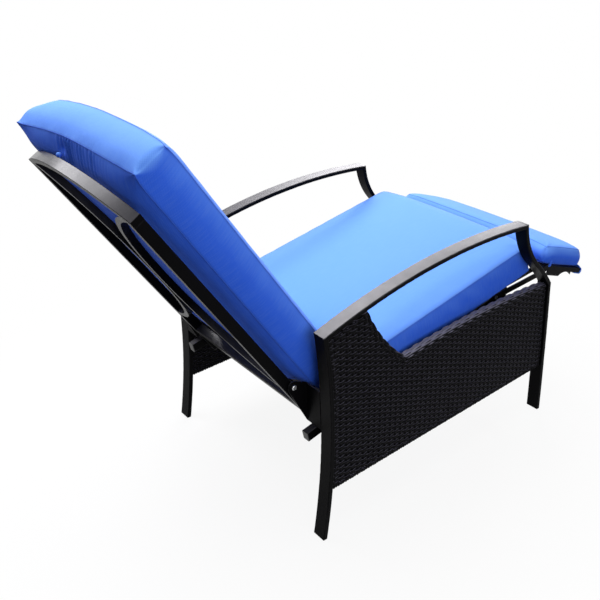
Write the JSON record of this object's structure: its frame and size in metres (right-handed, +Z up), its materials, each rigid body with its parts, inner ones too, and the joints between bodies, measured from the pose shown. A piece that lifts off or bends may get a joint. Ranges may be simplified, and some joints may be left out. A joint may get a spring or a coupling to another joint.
{
  "type": "reclining garden armchair",
  "caption": "Garden armchair with woven side panels, thick cushions and a back that leans while a linkage lifts the footrest.",
  "frame": {"origin": "on the floor, under the middle of the whole leaned-back chair", "axes": "+X to the sitter's left, the sitter faces -Y, +Z up"},
  "size_m": [0.665, 1.4525, 1.009],
  "materials": {
    "black_frame": "fine textured black powder coat",
    "black_wicker": "woven flat black plastic strand",
    "blue_fabric": "royal blue woven polyester",
    "black_plastic": "moulded black plastic",
    "zinc_hardware": "zinc plated steel"
  },
  "bodies": {
    "root": {"left_rear_leg": "black_frame", "right_rear_leg": "black_frame", "left_armrest": "black_frame", "right_armrest": "black_frame", "left_arm_post": "black_frame", "right_arm_post": "black_frame", "left_front_leg": "black_frame", "right_front_leg": "black_frame", "left_woven_panel": "black_wicker", "right_woven_panel": "black_wicker", "left_panel_frame": "black_frame", "right_panel_frame": "black_frame", "left_recline_bracket": "black_frame", "right_recline_bracket": "black_frame", "left_hanger_bracket": "black_frame", "right_hanger_bracket": "black_frame", "foot_plugs": "black_plastic", "rear_base_tube": "black_frame", "front_base_tube": "black_frame"},
    "back": {"left_back_rail": "black_frame", "right_back_rail": "black_frame", "left_curved_bar": "black_frame", "right_curved_bar": "black_frame", "back_top_rail": "black_frame", "back_lower_rail": "black_frame", "back_rail_caps": "black_plastic", "recline_bolts": "zinc_hardware", "recline_nuts": "zinc_hardware", "recline_washers": "black_plastic", "seat_pivot_pins": "zinc_hardware", "seat_spacers": "black_plastic", "back_cushion": "blue_fabric", "back_button": "blue_fabric"},
    "seat": {"left_seat_rail": "black_frame", "right_seat_rail": "black_frame", "left_seat_lug": "black_frame", "right_seat_lug": "black_frame", "left_hinge_plate": "black_frame", "right_hinge_plate": "black_frame", "seat_rail_caps": "black_plastic", "seat_front_rail": "black_frame", "seat_rear_rail": "black_frame", "seat_slats": "black_frame", "seat_link_pins": "zinc_hardware", "seat_cushion": "blue_fabric"},
    "hangers": {"left_hanger": "black_frame", "right_hanger": "black_frame"},
    "front_links": {"left_front_link": "black_frame", "right_front_link": "black_frame"},
    "rear_links": {"left_rear_link": "black_frame", "right_rear_link": "black_frame"},
    "footrest": {"left_footrest_rail": "black_frame", "right_footrest_rail": "black_frame", "left_footrest_plate": "black_frame", "right_footrest_plate": "black_frame", "footrest_front_bar": "black_frame", "footrest_rear_bar": "black_frame", "footrest_pins": "zinc_hardware", "footrest_cushion": "blue_fabric", "footrest_pocket": "blue_fabric"}
  },
  "joints": [
    {"name": "back_recline", "type": "hinge", "parent": "root", "child": "back", "pos_m": [0, 0.35185, 0.391], "axis": [1, 0, 0], "range_deg": [0, 22]},
    {"name": "seat_swing", "type": "hinge", "parent": "back", "child": "seat", "pos_m": [0, 0.27624, 0.26365], "axis": [1, 0, 0], "range_deg": [-20.88, 0]},
    {"name": "hanger_swing", "type": "hinge", "parent": "root", "child": "hangers", "pos_m": [0, -0.05115, 0.381], "axis": [1, 0, 0], "range_deg": [0, 20.4]},
    {"name": "front_link_swing", "type": "hinge", "parent": "seat", "child": "front_links", "pos_m": [0, -0.35415, 0.405], "axis": [1, 0, 0], "range_deg": [0, 35.07]},
    {"name": "rear_link_swing", "type": "hinge", "parent": "seat", "child": "rear_links", "pos_m": [0, -0.31415, 0.405], "axis": [1, 0, 0], "range_deg": [0, 23.6]},
    {"name": "footrest_swing", "type": "hinge", "parent": "front_links", "child": "footrest", "pos_m": [0, -0.55015, 0.422], "axis": [1, 0, 0], "range_deg": [0, 27.98]}
  ],
  "couplings": [
    {"joint": "seat_swing", "follows": "back_recline", "ratio": -0.94852},
    {"joint": "hanger_swing", "follows": "back_recline", "ratio": 0.92667},
    {"joint": "front_link_swing", "follows": "back_recline", "ratio": 1.5935},
    {"joint": "rear_link_swing", "follows": "back_recline", "ratio": 1.072},
    {"joint": "footrest_swing", "follows": "back_recline", "ratio": 1.2713}
  ]
}
